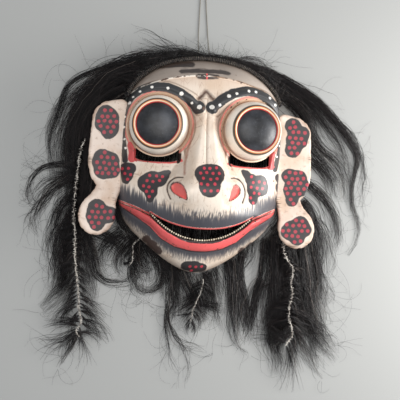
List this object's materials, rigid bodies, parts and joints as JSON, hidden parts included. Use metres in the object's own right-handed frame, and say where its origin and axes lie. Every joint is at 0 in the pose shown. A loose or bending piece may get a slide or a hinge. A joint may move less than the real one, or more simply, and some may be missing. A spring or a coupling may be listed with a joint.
{
  "type": "frog dance mask",
  "caption": "Carved and painted wooden frog dance mask with bulging eyes, spotted ears, a wide open mouth, long dark hair and a hanging loop.",
  "frame": {"origin": "middle of the footprint of the mask, its ears and its hair, on the surface that it lies on", "axes": "+Z out of the face, away from the surface; +Y from the chin to the crown; +X towards the right of the face as it is looked at"},
  "size_m": [0.337, 0.4178, 0.0919],
  "materials": {
    "face_paint": "off-white gloss paint with painted features, slightly worn and yellowed",
    "ear_paint": "off-white paint with dark dotted spots, chipped along the edge",
    "dark_hair": "long dark natural hair with a slight sheen",
    "band_binding": "dark bound hair with pale stitches",
    "thread": "thin grey thread"
  },
  "bodies": {
    "root": {"chin_lock_left": "dark_hair", "chin_lock_right": "dark_hair", "chin_switch": "dark_hair", "ear_left": "ear_paint", "ear_right": "ear_paint", "face": "face_paint", "hair_band": "band_binding", "hanging_thread": "thread", "jaw_curl": "dark_hair", "mane_left": "dark_hair", "mane_right": "dark_hair", "switch_left": "dark_hair", "switch_right": "dark_hair"}
  },
  "joints": []
}
